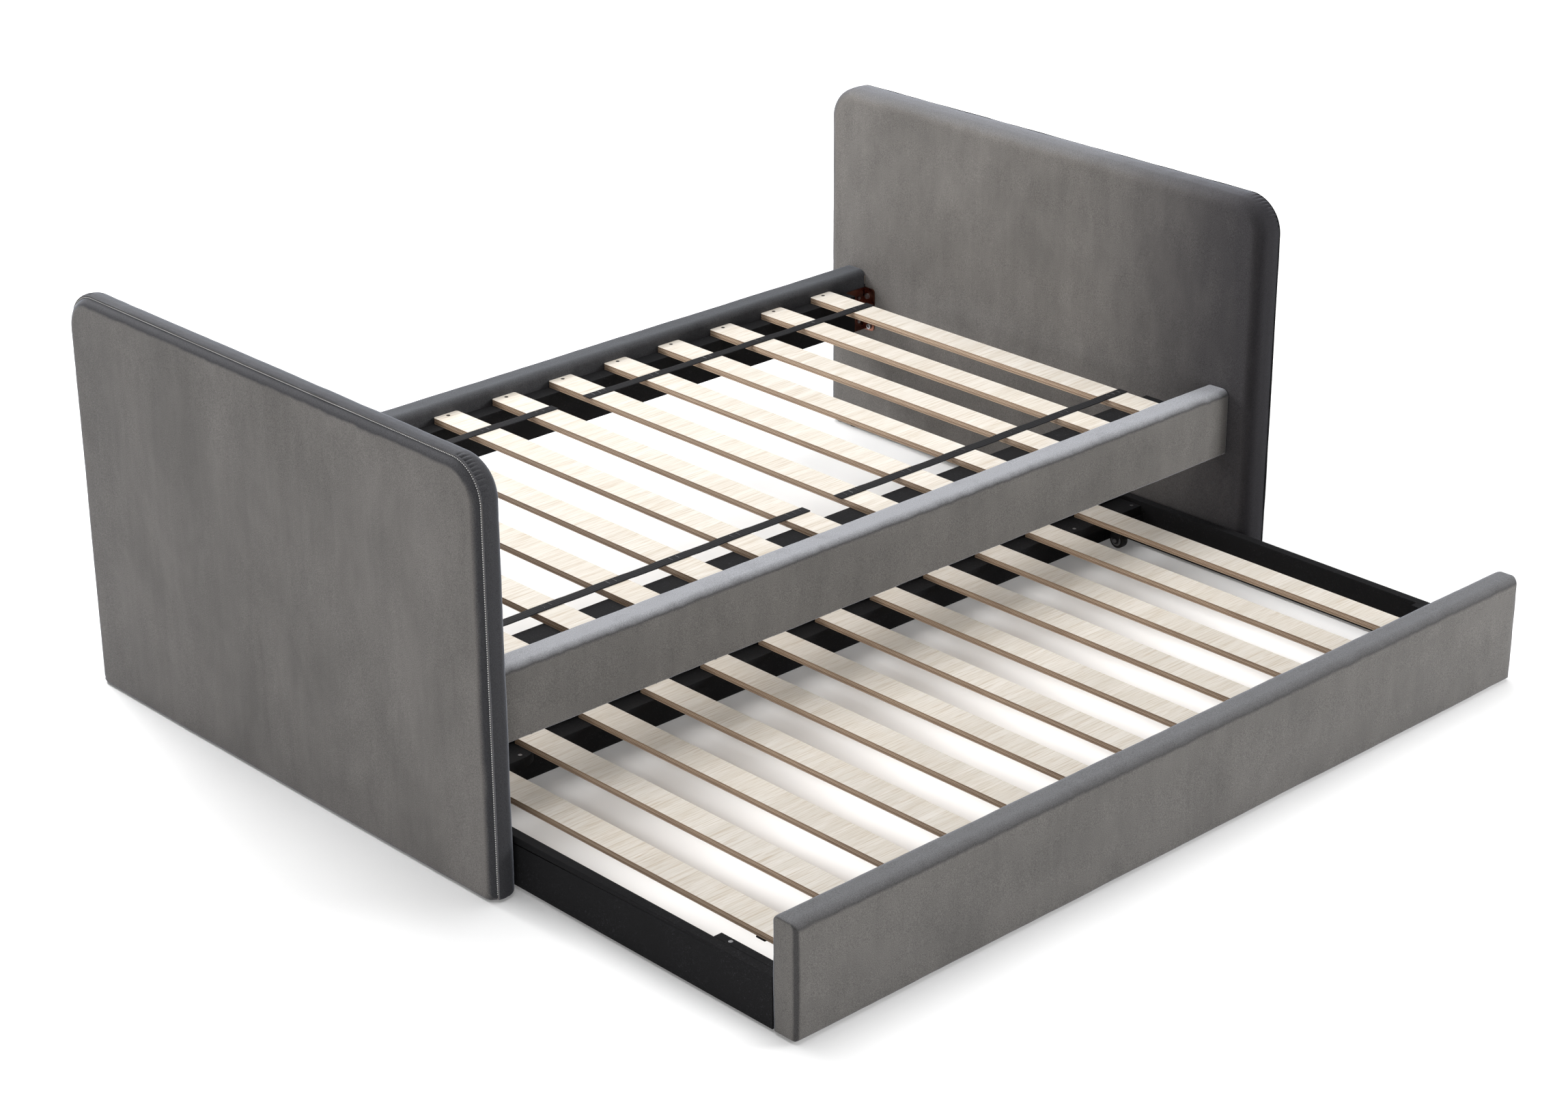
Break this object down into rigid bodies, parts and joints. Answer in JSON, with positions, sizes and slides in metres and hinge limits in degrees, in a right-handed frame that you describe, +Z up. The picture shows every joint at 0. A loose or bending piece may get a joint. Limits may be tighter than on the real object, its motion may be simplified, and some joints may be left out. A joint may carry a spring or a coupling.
{
  "type": "trundle bed",
  "caption": "Low twin bed with equal upholstered end boards and a slatted base, and a slatted trundle that rolls out from under one side on fixed casters.",
  "frame": {"origin": "on the floor at the centre of the whole footprint with the trundle drawn out as stored", "axes": "+X from the footboard to the headboard, -Y the way the trundle comes out, +Z up"},
  "size_m": [2.054, 1.915, 0.81],
  "materials": {
    "timber": "sawn pine",
    "plywood_skin": "thin plywood",
    "foam": "open-cell foam",
    "velvet": "short-pile velvet, warm grey",
    "black_cloth": "non-woven dust cloth",
    "cloth_wrapped_board": "board wrapped in black non-woven cloth",
    "slat_plywood": "pale plywood, ply lines on the edges",
    "webbing": "flat woven webbing",
    "zinc": "bright zinc",
    "black_zinc": "black zinc plating",
    "bronze_zinc": "reddish bronze plating",
    "black_plastic": "moulded",
    "tyre_rubber": "smooth black tread",
    "grey_plastic": "moulded"
  },
  "bodies": {
    "bed": {"footboard_frame": "timber", "headboard_frame": "timber", "front_rail_core": "timber", "back_rail_core": "timber", "footboard_skins": "plywood_skin", "headboard_skins": "plywood_skin", "footboard_foam": "foam", "headboard_foam": "foam", "footboard_cover": "velvet", "footboard_face": "velvet", "headboard_cover": "velvet", "front_rail_cover": "velvet", "back_rail_cover": "velvet", "headboard_backing": "black_cloth", "front_rail_liner": "black_cloth", "back_rail_liner": "black_cloth", "front_cleat": "cloth_wrapped_board", "back_cleat": "cloth_wrapped_board", "foot_slats": "slat_plywood", "head_slats": "slat_plywood", "foot_front_strap": "webbing", "foot_back_strap": "webbing", "head_front_strap": "webbing", "head_back_strap": "webbing", "cleat_screws": "zinc", "bracket_bolts": "zinc", "bracket_screws": "zinc", "strap_staples": "zinc", "insert_nuts": "zinc", "slat_screws": "black_zinc", "corner_brackets": "bronze_zinc", "floor_glides": "black_plastic"},
    "trundle": {"trundle_panel_core": "timber", "trundle_panel_cover": "velvet", "trundle_foot_side": "cloth_wrapped_board", "trundle_head_side": "cloth_wrapped_board", "trundle_back_board": "cloth_wrapped_board", "trundle_back_ledge": "cloth_wrapped_board", "trundle_front_cleat": "cloth_wrapped_board", "trundle_back_blocks": "cloth_wrapped_board", "trundle_front_blocks": "cloth_wrapped_board", "trundle_screws": "zinc", "trundle_foot_slats": "slat_plywood", "trundle_head_slats": "slat_plywood", "trundle_slat_screws": "black_zinc", "trundle_strap": "webbing", "caster_blocks": "cloth_wrapped_board", "caster_forks": "black_plastic", "caster_axles": "zinc", "caster_screws": "zinc"},
    "wheel_front_foot": {"tyre_front_foot": "tyre_rubber", "hub_front_foot": "grey_plastic"},
    "wheel_front_head": {"tyre_front_head": "tyre_rubber", "hub_front_head": "grey_plastic"},
    "wheel_back_foot": {"tyre_back_foot": "tyre_rubber", "hub_back_foot": "grey_plastic"},
    "wheel_back_head": {"tyre_back_head": "tyre_rubber", "hub_back_head": "grey_plastic"}
  },
  "joints": [
    {"name": "trundle_slide", "type": "slide", "parent": "bed", "child": "trundle", "axis": [0, 1, 0], "range_m": [-0.3, 0.734]},
    {"name": "wheel_spin_front_foot", "type": "hinge", "parent": "trundle", "child": "wheel_front_foot", "pos_m": [-0.908, -0.8125, 0.0185], "axis": [1, 0, 0], "range_deg": [-2300, 950]},
    {"name": "wheel_spin_front_head", "type": "hinge", "parent": "trundle", "child": "wheel_front_head", "pos_m": [0.908, -0.8125, 0.0185], "axis": [1, 0, 0], "range_deg": [-2300, 950]},
    {"name": "wheel_spin_back_foot", "type": "hinge", "parent": "trundle", "child": "wheel_back_foot", "pos_m": [-0.9, 0.0015, 0.0185], "axis": [1, 0, 0], "range_deg": [-2300, 950]},
    {"name": "wheel_spin_back_head", "type": "hinge", "parent": "trundle", "child": "wheel_back_head", "pos_m": [0.9, 0.0015, 0.0185], "axis": [1, 0, 0], "range_deg": [-2300, 950]}
  ],
  "couplings": [
    {"joint": "wheel_spin_front_foot", "follows": "trundle_slide", "rad_per_m": -54.054},
    {"joint": "wheel_spin_front_head", "follows": "trundle_slide", "rad_per_m": -54.054},
    {"joint": "wheel_spin_back_foot", "follows": "trundle_slide", "rad_per_m": -54.054},
    {"joint": "wheel_spin_back_head", "follows": "trundle_slide", "rad_per_m": -54.054}
  ]
}
